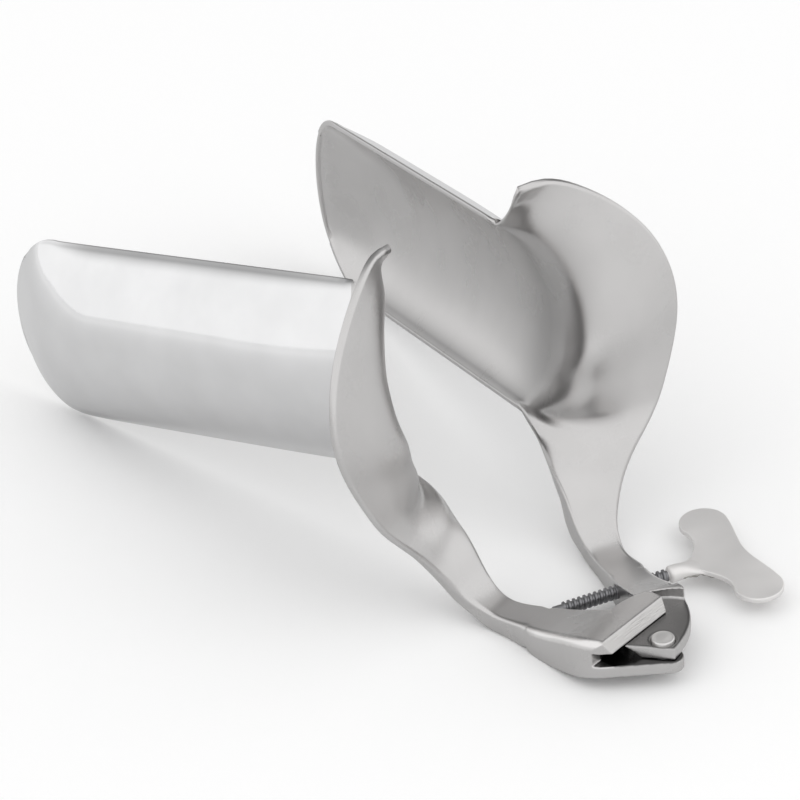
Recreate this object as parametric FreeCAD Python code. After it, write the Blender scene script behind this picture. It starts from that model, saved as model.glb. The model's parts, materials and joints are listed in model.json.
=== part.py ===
import FreeCAD, Part
import math
import os

V = FreeCAD.Vector
os.makedirs("parts", exist_ok=True)

# Lengths in mm. Half frame: hinge axis through x = y = 0, x runs towards the hinge,
# y runs outwards from the plane where the two blades meet, z = 0 is the table.

OPEN_DEG = 25.3
HINGE_X = 72.77

BLADE_W = 38.0
BLADE_DEPTH = 11.0
BLADE_WALL = 1.5
EDGE_Y = 0.4
NOTCH_X = -62.3
NOTCH_MID_Z = 37.8
DROOP = 0.245
NOSE_X = -139.0
NOSE_LEN = 14.2
DEPTH_X = -125.0
THROAT_LEAN = 7.3

FLANGE_T = 1.5
BELLY_Z = 0.0
BELLY_END_X = -19.0
BLOCK_X = -22.0
BLOCK_IN_Y = 1.2
FORK_OUT_Y = 9.0
TONGUE_OUT_Y = 8.1
BLOCK_TOP_Z = 5.35

TONGUE_TOP = 7.5
TONGUE_T = 2.5
PLATE_UP_T = 2.45
PLATE_LOW_T = 2.25
SLOT_PLAY = 0.05
PLATE_R = 11.0
SWEEP_PLAY = 0.3
SLOT_WALL_X = -7.1
CROSS_Y = -6.9
TONGUE_BEVEL = 3.2

PIN_R = 1.97
PIN_PLAY = 0.06
PIN_HEAD = 0.45

SCREW_X = -21.0
SCREW_Z = 3.4
THREAD_R = 1.25
THREAD_ROOT_R = 0.92
THREAD_PITCH = 1.0
THREAD_PLAY = 0.06
SCREW_TIP_Y = -11.02
TIP_LEN = 1.6
NECK_Y = 11.0
NECK_R = 1.55
NECK_END = 18.0

WING_T = 1.0
WING_SPAN = 29.8
WING_IN_Y = 18.9
WING_OUT_Y = 27.6
WING_WAIST_Y = 26.0


def mid_z(x):
    """Height of the blade's long axis over the table at x."""
    if x >= NOSE_X:
        return NOTCH_MID_Z + DROOP * (x - NOTCH_X)
    return mid_z(NOSE_X) + 0.1 * (x - NOSE_X)


def trough(x, bulge, angle, inset):
    """Point on the blade's skin: half ellipse across, half ellipse round the nose."""
    nose = NOSE_LEN - inset
    half = BLADE_W / 2 - inset
    s = math.sin(angle)
    end = NOSE_X - nose
    ahead = max(0.0, NOSE_X - x) / nose
    half = half * math.sqrt(max(0.0, 1 - ahead * ahead))
    px = x - bulge * (1 - s * s)
    run = max(0.0, DEPTH_X - px) / (DEPTH_X - end)
    depth = (BLADE_DEPTH - inset) * max(0.0, 1 - run * run)
    flare = max(0.0, px + 90.0) / 28.0
    depth = depth - 1.3 * flare * flare
    px_half = (BLADE_W / 2 - inset) * math.sqrt(max(0.0, 1 - (max(0.0, NOSE_X - px) / nose) ** 2))
    z = half * s
    if px_half < 1e-6:
        across = 0.0
    else:
        across = math.sqrt(max(0.0, 1 - (z / px_half) ** 2))
    return V(px, EDGE_Y + depth * across, mid_z(px) + z)


def throat_x(angle):
    """The blade ends on a leaning line, further back at its lower edge."""
    return NOTCH_X + THROAT_LEAN * (1 - math.sin(angle)) / 2


ANGLES = [math.radians(90 - 15 * i) for i in range(13)]
STATIONS = [0.0, 0.06, 0.14, 0.24, 0.36, 0.5, 0.64, 0.76, 0.86, 0.93, 0.97, 1.0]


def blade_grid(inset):
    """Rows run from the throat to the nose, columns from the top edge to the bottom edge."""
    rows = []
    nose = NOSE_LEN - inset
    last = NOSE_X - nose * 0.7
    last_bulge = nose * 0.3
    for f in STATIONS:
        row = []
        for a in ANGLES:
            start = throat_x(a)
            x = start + (last - start) * f
            bulge = last_bulge * max(0.0, (f - 0.6) / 0.4) ** 2
            row.append(trough(x, bulge, a, inset))
        rows.append(row)
    return rows


# Outer rail of flange and arm, from the horn's tip round the lobe to the hinge block.
RIM = [V(-52.9, 1.8, 66.6), V(-51.8, 7.3, 67.6), V(-49.7, 14.9, 64.1), V(-47.4, 23.0, 55.7),
       V(-45.6, 26.7, 45.2), V(-44.1, 25.6, 35.5), V(-42.3, 21.3, 25.2), V(-41.2, 17.4, 19.7)]
ARM_OUT = [V(-40.6, 14.7, 16.1), V(-39.7, 12.4, 12.6), V(-38.5, 10.8, 9.6), V(-36.7, 9.3, 6.4),
           V(-34.5, 8.4, 4.9), V(-32.2, 7.9, 4.0), V(-29.5, 7.9, 3.8), V(-25.8, 8.2, 4.45)]
ARM_IN = [V(-50.5, 0.2, 19.1), V(-46.4, 0.3, 15.8), V(-42.1, 0.8, 12.4), V(-38.9, 1.2, 8.3),
          V(-36.6, 1.5, 5.6), V(-34.0, 1.8, 3.9), V(-30.6, 1.9, 3.5), V(-26.3, 1.6, 4.3)]
ARM_T = [1.7, 2.0, 2.4, 2.8, 3.0, 3.3]
KEEL = [0.0, 0.5, 1.3, 1.8, 1.5, 0.5]
REACH = [0.0, 8.1, 10.5, 12.1, 13.2, 13.8, 14.4, 14.5, 14.1, 12.2, 9.0, 5.0, 2.2]
SINK = [0.0, 1.0, 1.0, 1.0, 1.0, 1.0, 1.0, 1.0, 1.0, 1.0, 0.8, 0.4, 0.0]
HORN = V(7.5, 0.6, 3.0)
ALONG = [0.0, 0.12, 0.25, 0.38, 0.5, 0.62, 0.75, 0.88, 1.0]


def curve_points(points, count):
    """Points at even steps along a smooth curve through the given ones."""
    c = Part.BSplineCurve()
    c.interpolate(points)
    return c.toShape().discretize(count)


def rung(inner, corner, outer, k):
    """Cubic curve that leaves the throat along the blade and turns out to the rim."""
    a = inner + (corner - inner) * 0.9
    b = outer + (corner - outer) * 0.75
    m = 1 - k
    return inner * m ** 3 + a * (3 * m * m * k) + b * (3 * m * k * k) + outer * k ** 3


def ladder(block_out_y):
    """Grid of rungs over the proximal face: first the flange, then the arm."""
    along = V(1, 0, DROOP)
    rim = curve_points(RIM, len(ANGLES))
    rows = []
    for i in range(len(ANGLES)):
        inner = trough(throat_x(ANGLES[i]), 0.0, ANGLES[i], BLADE_WALL)
        corner = inner + along * REACH[i] - V(0, SINK[i], 0)
        if i == 0:
            corner = inner + HORN
        rows.append([rung(inner, corner, rim[i], k) for k in ALONG])
    ends = list(zip(ARM_IN, ARM_OUT))
    ends.append((V(BLOCK_X, BLOCK_IN_Y, BLOCK_TOP_Z), V(BLOCK_X, block_out_y, BLOCK_TOP_Z)))
    for inner, outer in ends:
        rows.append([inner + (outer - inner) * k for k in ALONG])
    return rows


def under(rows):
    """The distal face: each point of the proximal face moved by the local thickness."""
    n = len(rows)
    m = len(rows[0])
    low = []
    for i in range(n):
        line = []
        for j in range(m):
            dr = rows[min(i + 1, n - 1)][j] - rows[max(i - 1, 0)][j]
            dk = rows[i][min(j + 1, m - 1)] - rows[i][max(j - 1, 0)]
            normal = dk.cross(dr)
            normal.normalize()
            arm = i - len(ANGLES)
            p = rows[i][j]
            if arm < 0:
                q = p + normal * FLANGE_T
            elif arm < len(ARM_T):
                q = p + normal * ARM_T[arm] - V(1, 0.2, 0.8) * (KEEL[arm] * (1 - ALONG[j]))
            else:
                q = V(p.x, p.y, BELLY_Z + (0.12 if arm == len(ARM_T) else 0.0))
            line.append(q)
        low.append(line)
    for i in range(len(ANGLES)):
        root = trough(throat_x(ANGLES[i]), 0.0, ANGLES[i], 0.0)
        shift = root - low[i][0]
        for j in range(3):
            low[i][j] = low[i][j] + shift * (1 - j / 3.0)
    return low


def even(count):
    return [i / (count - 1.0) for i in range(count)]


def through(points, steps):
    c = Part.BSplineCurve()
    c.interpolate(Points=points, Parameters=steps)
    return c


def skin(grid, down, across):
    """Surface through a grid of points; equal border points give equal border curves."""
    rows = [through(row, across) for row in grid]
    columns = [through(list(col), down) for col in zip(*[r.getPoles() for r in rows])]
    poles = [list(row) for row in zip(*[c.getPoles() for c in columns])]
    s = Part.BSplineSurface()
    s.buildFromPolesMultsKnots(poles, columns[0].getMultiplicities(), rows[0].getMultiplicities(),
                               columns[0].getKnots(), rows[0].getKnots(), False, False, 3, 3)
    return s


def edge_of(surface, side):
    u0, u1, v0, v1 = surface.bounds()
    if side == "first":
        return surface.uIso(u0).toShape()
    if side == "last":
        return surface.uIso(u1).toShape()
    if side == "left":
        return surface.vIso(v0).toShape()
    return surface.vIso(v1).toShape()


def sheet(top, low, down, across, walls):
    """Two smooth faces and the ruled walls that join their free sides."""
    a = skin(top, down, across)
    b = skin(low, down, across)
    faces = [a.toShape(), b.toShape()]
    for side in walls:
        faces.append(Part.makeRuledSurface(edge_of(a, side), edge_of(b, side)))
    return faces


def half_sheet(block_out_y):
    """Blade, flange and arm of one half as one closed solid."""
    top = ladder(block_out_y)
    low = under(top)
    n = len(ANGLES)
    blade_in = blade_grid(BLADE_WALL)
    blade_out = blade_grid(0.0)
    faces = sheet(blade_in, blade_out, STATIONS, even(n), ["last", "left", "right"])
    faces += sheet(top[:n], low[:n], even(n), ALONG, ["first", "right"])
    arm = top[n - 1:]
    faces += sheet(arm, low[n - 1:], even(len(arm)), ALONG, ["last", "left", "right"])
    shell = Part.Compound(faces)
    shell.sewShape(0.02)
    solid = Part.Solid(shell.Shells[0])
    if solid.Volume < 0:
        solid.reverse()
    return solid


def smooth(points, start=None, end=None):
    c = Part.BSplineCurve()
    if start is None:
        c.interpolate(points)
    else:
        c.interpolate(Points=points, InitialTangent=start, FinalTangent=end)
    return c.toShape()


def line(a, b):
    return Part.makeLine(a, b)


def arc(a, mid, b):
    return Part.Arc(a, mid, b).toShape()


def prism(edges, way):
    """Closed outline swept along a straight way."""
    return Part.Face(Part.Wire(edges)).extrude(way)


def polygon(points, way):
    pts = points + [points[0]]
    return prism([line(pts[i], pts[i + 1]) for i in range(len(points))], way)


PLATE_TOP = TONGUE_TOP + PLATE_UP_T + SLOT_PLAY
SLOT_FLOOR = TONGUE_TOP - TONGUE_T - SLOT_PLAY
PLATE_FLOOR = SLOT_FLOOR - PLATE_LOW_T
STEP_R = PLATE_R + SWEEP_PLAY + 0.4
TONGUE_CORNER = V(-1.7, -6.4, 0)
TONGUE_ROOT = V(-PLATE_R - 1.0, EDGE_Y, 0)


def block_profile():
    """Hinge block seen from the side: belly on the table, top rising to the hinge."""
    y = -14
    x = BLOCK_X
    top = [V(x, y, BLOCK_TOP_Z), V(-18, y, 6.55), V(-14, y, 8.1), V(-10.5, y, PLATE_TOP - 0.6),
           V(-5.5, y, PLATE_TOP)]
    flat = V(BELLY_END_X, y, BELLY_Z)
    low = [flat, V(-16.5, y, 0.3), V(-12.0, y, 1.25), V(-7.5, y, PLATE_FLOOR - 0.35),
           V(-3, y, PLATE_FLOOR)]
    edges = [smooth(top, V(1, 0, 0.26), V(1, 0, 0)), line(top[-1], V(6, y, PLATE_TOP)),
             line(V(6, y, PLATE_TOP), V(6, y, PLATE_FLOOR)), line(V(6, y, PLATE_FLOOR), low[-1]),
             smooth(low, V(1, 0, 0), V(1, 0, 0)), line(flat, V(x, y, BELLY_Z)),
             line(V(x, y, BELLY_Z), top[0])]
    return prism(edges, V(0, 28, 0))


def inner_side(cut_y):
    """The edges that face the other half: plate arc round the pin, then the arm."""
    a = V(-math.sqrt(PLATE_R ** 2 - cut_y ** 2), cut_y, 0)
    b = V(-math.sqrt(PLATE_R ** 2 - EDGE_Y ** 2), EDGE_Y, 0)
    turn = (math.atan2(a.y, a.x) % (2 * math.pi) + math.atan2(b.y, b.x)) / 2
    mid = V(PLATE_R * math.cos(turn), PLATE_R * math.sin(turn), 0)
    return a, b, mid


def fork_plan():
    side = [V(BLOCK_X, FORK_OUT_Y, 0), V(-17, FORK_OUT_Y + 0.8, 0), V(-12, FORK_OUT_Y + 1.7, 0),
            V(-8.4, FORK_OUT_Y + 1.8, 0), V(-5.4, FORK_OUT_Y + 0.5, 0)]
    nose = [V(2.6, 2.2, 0), V(3.85, 0.2, 0), V(3.1, -1.5, 0)]
    back = [V(-3.4, -5.5, 0), V(-4.9, -6.55, 0), V(-7.0, CROSS_Y, 0)]
    a, b, mid = inner_side(CROSS_Y)
    edges = [smooth(side, V(1, 0.17, 0), V(1, -0.91, 0)), line(side[-1], nose[0]),
             arc(nose[0], nose[1], nose[2]), line(nose[2], back[0]),
             arc(back[0], back[1], back[2]), line(back[2], a), arc(a, mid, b),
             line(b, V(BLOCK_X, BLOCK_IN_Y, 0)), line(V(BLOCK_X, BLOCK_IN_Y, 0), side[0])]
    return prism(edges, V(0, 0, 20))


def tongue_plan():
    side = [V(BLOCK_X, TONGUE_OUT_Y, 0), V(-15, TONGUE_OUT_Y + 0.1, 0),
            V(-8.5, TONGUE_OUT_Y + 0.2, 0), V(-5.2, TONGUE_OUT_Y - 0.5, 0), V(-0.4, 4.85, 0),
            V(3.3, 0.5, 0)]
    corner = TONGUE_CORNER
    edges = [smooth(side, V(1, 0, 0), V(0.6, -1, 0)), line(side[-1], corner),
             line(corner, TONGUE_ROOT), line(TONGUE_ROOT, V(BLOCK_X, BLOCK_IN_Y, 0)),
             line(V(BLOCK_X, BLOCK_IN_Y, 0), side[0])]
    return prism(edges, V(0, 0, 20))


def tongue_bevel():
    """Wedge off the tongue's lower side edge, so that it clears the slot's wall."""
    way = TONGUE_ROOT - TONGUE_CORNER
    way.normalize()
    inward = V(-way.y, way.x, 0) * -1
    low = V(0, 0, TONGUE_TOP - TONGUE_T - 0.2)
    start = TONGUE_CORNER - way * 6
    top = start + V(0, 0, TONGUE_TOP) - inward * 0.3
    return polygon([top, start + low - inward * 0.3, start + low + inward * TONGUE_BEVEL], way * 12)


def bore(radius):
    return Part.makeCylinder(radius, 40, V(0, 0, -10))


def fork_block():
    """Two plates with a slot between them; the upper one ends short in a slanting face."""
    body = block_profile().common(fork_plan())
    wall = SLOT_WALL_X
    slot = polygon([V(wall, 20, SLOT_FLOOR), V(wall, 3.0, SLOT_FLOOR), V(-12.2, -0.6, SLOT_FLOOR),
                    V(-12.2, -20, SLOT_FLOOR), V(10, -20, SLOT_FLOOR), V(10, 20, SLOT_FLOOR)],
                   V(0, 0, TONGUE_T + 2 * SLOT_PLAY))
    low = TONGUE_TOP + SLOT_PLAY
    end = polygon([V(-4.05, -20, low), V(-5.5, -20, PLATE_TOP), V(-5.8, -20, PLATE_TOP + 0.5),
                   V(10, -20, PLATE_TOP + 0.5), V(10, -20, low)], V(0, 40, 0))
    return body.cut(slot).cut(end).cut(bore(PIN_R))


def tongue_block():
    """Full arm that steps down to one middle plate round the pin."""
    body = block_profile().common(tongue_plan())
    above = Part.makeCylinder(STEP_R, 8, V(0, 0, TONGUE_TOP))
    above = above.makeFillet(0.45, [e for e in above.Edges if e.BoundBox.ZMax < TONGUE_TOP + 0.1])
    below = Part.makeCylinder(STEP_R, 8, V(0, 0, TONGUE_TOP - TONGUE_T - 8))
    sink = Part.makeCone(PIN_R + PIN_PLAY, PIN_R + PIN_PLAY + 0.35, 0.35, V(0, 0, TONGUE_TOP - 0.35))
    body = body.cut(above).cut(below).cut(tongue_bevel())
    return body.cut(bore(PIN_R + PIN_PLAY)).cut(sink)


def screw_hole():
    return along_screw(Part.makeCylinder(THREAD_R + THREAD_PLAY, 24, V(0, 0, -8)))


def along_screw(shape):
    """Shapes built along Z are laid along the screw, which runs outwards through the arm."""
    s = shape.copy()
    s.rotate(V(0, 0, 0), V(1, 0, 0), -90)
    s.translate(V(SCREW_X, 0, SCREW_Z))
    return s


def hinge_pin():
    body = Part.makeCylinder(PIN_R, TONGUE_TOP + PIN_HEAD - PLATE_FLOOR, V(0, 0, PLATE_FLOOR))
    dome = Part.makeSphere(9.0, V(0, 0, TONGUE_TOP + PIN_HEAD - 9.0))
    return body.common(dome.fuse(Part.makeCylinder(5, TONGUE_TOP - 2.0, V(0, 0, 0))))


def thread(low, high):
    """Rod with one V-shaped ridge to each pitch, turned as a single profile."""
    turns = int((high - low) / THREAD_PITCH)
    outline = [V(0, 0, low), V(THREAD_ROOT_R, 0, low)]
    for i in range(turns):
        foot = low + i * THREAD_PITCH
        outline.append(V(THREAD_R, 0, foot + THREAD_PITCH * 0.4))
        outline.append(V(THREAD_R, 0, foot + THREAD_PITCH * 0.6))
        outline.append(V(THREAD_ROOT_R, 0, foot + THREAD_PITCH))
    outline += [V(THREAD_ROOT_R, 0, high), V(0, 0, high), V(0, 0, low)]
    return Part.Face(Part.makePolygon(outline)).revolve(V(0, 0, 0), V(0, 0, 1), 360)


def spindle():
    """Threaded rod with a plain neck, slit at its end for the wing."""
    low = SCREW_TIP_Y + TIP_LEN
    neck = Part.makeCylinder(NECK_R, NECK_END - NECK_Y - 0.3, V(0, 0, NECK_Y + 0.3))
    shoulder = Part.makeCone(NECK_R - 0.3, NECK_R, 0.3, V(0, 0, NECK_Y))
    taper = Part.makeCone(NECK_R, WING_T / 2 + 0.12, NECK_END - 13.6, V(0, 0, 13.6))
    taper = taper.fuse(Part.makeCylinder(NECK_R, 13.6 - NECK_Y, V(0, 0, NECK_Y)))
    slit = Part.makeBox(8, WING_T, 8, V(-4, -WING_T / 2, NECK_END - 3.4))
    rod = thread(low, NECK_Y + 0.1).fuse(shoulder).fuse(neck.common(taper))
    return along_screw(rod.cut(slit))


def screw_tip():
    body = Part.makeCylinder(THREAD_ROOT_R, TIP_LEN, V(0, 0, SCREW_TIP_Y))
    ball = Part.makeSphere(1.3, V(0, 0, SCREW_TIP_Y + 1.3))
    cap = ball.fuse(Part.makeCylinder(2, 4, V(0, 0, SCREW_TIP_Y + 1.3)))
    return along_screw(body.common(cap))


def wing():
    """Flat two-lobed plate brazed into the neck's slit."""
    z = SCREW_Z - WING_T / 2
    half = WING_SPAN / 2
    lobe = half - 4.9
    mid = (WING_IN_Y + WING_OUT_Y) / 2

    def p(t, s):
        return V(SCREW_X + t, s, z)

    def side(k):
        return [arc(p(k * lobe, WING_OUT_Y), p(k * half, mid), p(k * lobe, WING_IN_Y)),
                smooth([p(k * lobe, WING_IN_Y), p(k * 6.0, WING_IN_Y + 0.1),
                        p(k * 3.2, WING_IN_Y - 1.6), p(k * 1.3, NECK_END - 2.2)])]

    right = side(1)
    left = side(-1)
    root = NECK_END - 3.4
    edges = right + [line(p(1.3, NECK_END - 2.2), p(1.3, root)), line(p(1.3, root), p(-1.3, root)),
                     line(p(-1.3, root), p(-1.3, NECK_END - 2.2)), left[1], left[0],
                     smooth([p(-lobe, WING_OUT_Y), p(-lobe / 2, WING_OUT_Y - 0.85),
                             p(0, WING_WAIST_Y), p(lobe / 2, WING_OUT_Y - 0.85),
                             p(lobe, WING_OUT_Y)])]
    wire = Part.Wire(Part.__sortEdges__(edges))
    return Part.Face(wire).extrude(V(0, 0, WING_T))


def near(shape):
    s = shape.mirror(V(0, 0, 0), V(0, 1, 0))
    s.rotate(V(0, 0, 0), V(0, 0, 1), OPEN_DEG / 2)
    s.translate(V(HINGE_X, 0, 0))
    return s


def far(shape):
    s = shape.copy()
    s.rotate(V(0, 0, 0), V(0, 0, 1), -OPEN_DEG / 2)
    s.translate(V(HINGE_X, 0, 0))
    return s


fork = half_sheet(FORK_OUT_Y).fuse(fork_block())
tongue = half_sheet(TONGUE_OUT_Y).fuse(tongue_block()).cut(screw_hole())
parts = {
    "fork_half": near(fork),
    "hinge_pin": near(hinge_pin()),
    "tongue_half": far(tongue),
    "screw_spindle": far(spindle()),
    "screw_tip": far(screw_tip()),
    "wing_plate": far(wing()),
}
for name, shape in parts.items():
    print(name, shape.ShapeType, len(shape.Solids), shape.isValid(), round(shape.Volume, 1))
    shape.exportStep("parts/" + name + ".step")
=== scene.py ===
import json
import math
import bmesh
import bpy
import numpy as np
from mathutils import Matrix, Vector


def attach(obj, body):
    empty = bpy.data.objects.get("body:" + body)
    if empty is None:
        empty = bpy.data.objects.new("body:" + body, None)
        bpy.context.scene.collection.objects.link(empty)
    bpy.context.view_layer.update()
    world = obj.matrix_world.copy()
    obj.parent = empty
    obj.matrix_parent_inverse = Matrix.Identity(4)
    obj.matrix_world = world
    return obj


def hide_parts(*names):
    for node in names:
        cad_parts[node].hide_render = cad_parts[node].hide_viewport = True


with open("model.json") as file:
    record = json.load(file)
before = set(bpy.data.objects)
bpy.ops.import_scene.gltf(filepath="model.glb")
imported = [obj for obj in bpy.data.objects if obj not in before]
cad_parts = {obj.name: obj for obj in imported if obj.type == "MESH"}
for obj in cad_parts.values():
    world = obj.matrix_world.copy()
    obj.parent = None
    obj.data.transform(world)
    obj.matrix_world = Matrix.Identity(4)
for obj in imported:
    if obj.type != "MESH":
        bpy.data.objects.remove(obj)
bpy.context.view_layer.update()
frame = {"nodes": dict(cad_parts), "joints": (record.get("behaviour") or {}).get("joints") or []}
nodes = frame["nodes"]
joints = {j["name"]: j for j in frame["joints"]}
print("frame loaded", sorted(nodes))

mm = 0.001
hingeX = joints["blade_spread"]["pos_m"][0] / mm
openDeg = joints["blade_spread"]["range_deg"][1]  # the angle between the halves at rest

# The halves are built in their own frame in millimetres: hinge axis at x = y = 0,
# x towards the hinge, y outwards from the plane where the blades meet, z up from the table.

blade = {
    "width": 38.0, "depth": 11.0, "wall": 1.5, "edgeThinner": 0.35, "edgeY": 0.4,
    "notchX": -62.3, "notchMidZ": 37.8, "droop": 0.245, "noseDroop": 0.1,
    "noseX": -139.0, "noseLength": 14.2, "depthX": -125.0, "throatLean": 7.3, "heelBack": 2.5,
    "notchBack": 2.0, "stepFrom": 0.85, "arch": 0.7, "lowerEarly": 5.0, "noseSquare": 0.7, "bowFrom": 0.6,
    "flareX": -90.0, "flareRun": 28.0, "flareRise": 1.3,
}

# Rungs are the lines from the throat out to the rim, one each rungTurn degrees; the arm's follow.
flange = {
    "thick": 1.5, "rungTurn": 15.0, "leave": 0.9, "arrive": 0.75, "blendRungs": (8, 17), "rootShare": 0.3,
    "rim": [(-52.9, 1.8, 66.6), (-51.8, 7.3, 67.6), (-49.7, 14.9, 64.1), (-47.4, 23.0, 55.7),
            (-45.6, 26.7, 45.2), (-44.1, 25.6, 35.5), (-42.3, 21.3, 25.2), (-41.2, 17.4, 19.7)],
    "reach": [0.0, 8.1, 10.5, 12.1, 13.2, 13.8, 14.4, 14.5, 14.1, 12.2, 9.6, 7.0, 4.7],
    "sink": [0.0, 1.0, 1.0, 1.0, 1.0, 1.0, 1.0, 1.0, 1.0, 1.0, 0.8, 0.4, 0.0],
    "horn": (3.0, 0.6, 1.0), "edgeRadius": 0.6, "radiusShare": 0.46, "blendPasses": 30,
    "hollowShadeDepth": 0.6, "hollowReach": 6.5, "hollowOnBlade": 1.6,
}

arm = {
    "outer": [(-40.6, 14.7, 16.1), (-39.7, 12.4, 12.6), (-38.5, 10.8, 9.6), (-36.7, 9.3, 6.4),
              (-34.5, 8.4, 4.9), (-32.2, 7.9, 4.0), (-29.5, 7.9, 3.8), (-25.8, 8.2, 4.45)],
    "inner": [(-50.5, 0.2, 19.1), (-46.4, 0.3, 15.8), (-42.1, 0.8, 12.4), (-38.9, 1.2, 8.3),
              (-36.6, 1.5, 5.6), (-34.0, 1.8, 3.9), (-30.6, 1.9, 3.5), (-26.3, 1.6, 4.3)],
    "thick": [1.7, 2.0, 2.4, 2.8, 3.0, 3.3],
    "keel": [0.0, 0.5, 1.3, 1.8, 1.5, 0.5],
    "blockX": -22.0, "blockInY": 1.2, "blockTopZ": 5.35, "joinX": -23.2, "joinReach": 1.2,
    "blockOutY": {"near": 9.0, "far": 8.1}, "blockThick": 3.6, "keelWay": (1.0, 0.2, 0.8),
    "landRung": 16.8, "landRungs": 2.6, "slice": 0.25, "faceReach": 2.5, "rollGrow": 6.0,
    "smoothPasses": 4, "joinPasses": 8,
    "innerRadius": 0.4, "rollRadius": 1.1, "footRadius": 0.5, "blockRollRadius": 1.5,
    "rollX": -44.0, "rollRun": 16.0, "rollBelowZ": 19.0, "rolledOutsideY": 5.0, "voxel": 0.16,
}

hinge = {
    "tongueTop": 7.5, "slotFloor": 4.95, "slotRoof": 7.55, "slotX": -12.6, "slotWallX": -6.8, "stepR": 11.8,
    "rollToX": {"near": -5.8, "far": -12.2}, "plateHalf": 1.4, "slack": 0.06, "endSlope": 0.51,
    # the next line's values: painted shade on the slot's floor, roof and wall, and a painted highlight on
    # the rolled edge
    "floorPaintedShade": 1.5, "roofPaintedShade": 1.6, "wallPaintedShade": 1.7, "rolledPaintedHighlight": 0.5,
}


# Natural cubic spline through evenly spaced rows, read at the places in at: the second
# slopes solve the usual three-diagonal system, and each span is its cubic.
def splineThrough(values, at):
    v = np.asarray(values, float)
    n = len(v)
    system = np.eye(n)
    right = np.zeros((n,) + v.shape[1:])
    for i in range(1, n - 1):
        system[i, i - 1:i + 2] = (1, 4, 1)
        right[i] = 6 * (v[i - 1] - 2 * v[i] + v[i + 1])
    bend = np.linalg.solve(system, right.reshape(n, -1)).reshape(v.shape)
    at = np.asarray(at, float)
    i = np.clip(at.astype(int), 0, n - 2)
    t = (at - i).reshape((-1,) + (1,) * (v.ndim - 1))
    s = 1 - t
    return v[i] * s + v[i + 1] * t + (bend[i] * (s ** 3 - s) + bend[i + 1] * (t ** 3 - t)) / 6


def evenSteps(points, count):  # equal walking distances along the spline through the points
    fine = splineThrough(points, np.linspace(0, len(points) - 1, 600))
    walked = np.r_[0, np.cumsum(np.linalg.norm(np.diff(fine, axis=0), axis=1))]
    want = np.linspace(0, walked[-1], count)
    return np.stack([np.interp(want, walked, fine[:, i]) for i in range(3)], -1)


def midHeight(x):  # the blade's long axis: a straight droop, flatter over the nose
    b = blade
    body = b["notchMidZ"] + b["droop"] * (x - b["notchX"])
    nose = b["notchMidZ"] + b["droop"] * (b["noseX"] - b["notchX"]) + b["noseDroop"] * (x - b["noseX"])
    return np.where(x >= b["noseX"], body, nose)


# Blade skin: across, an arch flatter towards its edges than half an ellipse; along, the
# width closes as a quarter ellipse over the nose, sooner on the lower side, while the depth
# closes as a parabola and shallows to the throat. Towards the nose the rows bow forwards, by
# the share in bow, until the last one lies on the ellipse itself.
def troughSkin(x, bow, angle, inset):
    b = blade
    s = np.sin(angle)
    early = b["lowerEarly"] * np.maximum(0, -s) ** 2
    nose = b["noseLength"] + early - inset
    noseX = b["noseX"] + early
    half = b["width"] / 2 - inset
    ahead = np.maximum(0, noseX - x) / nose
    last = (early + b["noseSquare"] * (nose - early)) / nose
    px = x - bow * (np.sqrt(1 - s * s * (1 - last * last)) - last) * nose
    run = np.maximum(0, b["depthX"] - px) / (b["depthX"] - b["noseX"] + b["noseLength"] - inset)
    flare = np.maximum(0, px - b["flareX"]) / b["flareRun"]
    depth = (b["depth"] - inset) * np.maximum(0, 1 - run * run) - b["flareRise"] * flare * flare
    z = half * np.sqrt(np.maximum(0, 1 - ahead * ahead)) * s
    there = half * np.sqrt(np.maximum(0, 1 - (np.maximum(0, noseX - px) / nose) ** 2))
    across = np.maximum(0, 1 - (z / np.maximum(there, 1e-6)) ** 2) ** b["arch"]
    return np.stack(np.broadcast_arrays(px, b["edgeY"] + depth * across, midHeight(px) + z), -1)


def throatX(angle):  # leans back towards the bottom, and steps back at the heel and at the notch
    b = blade
    heel = np.maximum(0, (-np.sin(angle) - b["stepFrom"]) / (1 - b["stepFrom"]))
    notch = np.maximum(0, (np.sin(angle) - b["stepFrom"]) / (1 - b["stepFrom"]))
    leaning = b["notchX"] + b["throatLean"] * (1 - np.sin(angle)) / 2
    return leaning - b["heelBack"] * heel ** 2 - b["notchBack"] * notch ** 2


def wallAt(angle):  # the blade's wall, ground thinner towards both edges
    return blade["wall"] - blade["edgeThinner"] * np.abs(np.sin(angle)) ** 6


# Columns go from the blade's top edge to its bottom edge, and steps from the throat to the rim.
angles = np.radians(np.r_[90, 83, np.linspace(77, -77, 41), -83, -90])
rungSteps = np.r_[0, 0.1, np.linspace(0.17, 0.8, 16), 0.86, 1]


# Blade: rows from the throat to the nose, columns from the top edge to the bottom edge.
def bladeGrid(share):
    inset = share * wallAt(angles)[None, :]
    nose = blade["noseLength"] - inset
    last = blade["noseX"] - nose * blade["noseSquare"]
    f = np.r_[np.linspace(0, 0.9, 46), 0.92, 0.935, 0.95, 0.962, 0.973, 0.984, 1][:, None]
    start = throatX(angles)[None, :]
    bow = np.maximum(0, (f - blade["bowFrom"]) / (1 - blade["bowFrom"])) ** 2
    return troughSkin(start + (last - start) * f, bow, angles[None, :], inset)


def flangeRungs():  # each is a cubic that leaves the throat along the blade and turns out to the rim
    count = len(flange["reach"])
    steps = np.radians(90 - flange["rungTurn"] * np.arange(count))
    k = rungSteps[None, :, None]
    m = 1 - k
    inner = troughSkin(throatX(steps), 0.0, steps, wallAt(steps))
    outer = evenSteps(flange["rim"], count)
    corner = inner + np.outer(flange["reach"], (1, 0, blade["droop"]))
    corner[:, 1] -= flange["sink"]
    corner[0] = inner[0] + flange["horn"]
    a = inner + (corner - inner) * flange["leave"]
    b = outer + (corner - outer) * flange["arrive"]
    return (inner[:, None] * m ** 3 + a[:, None] * (3 * m * m * k)
            + b[:, None] * (3 * m * k * k) + outer[:, None] * k ** 3)


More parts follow.
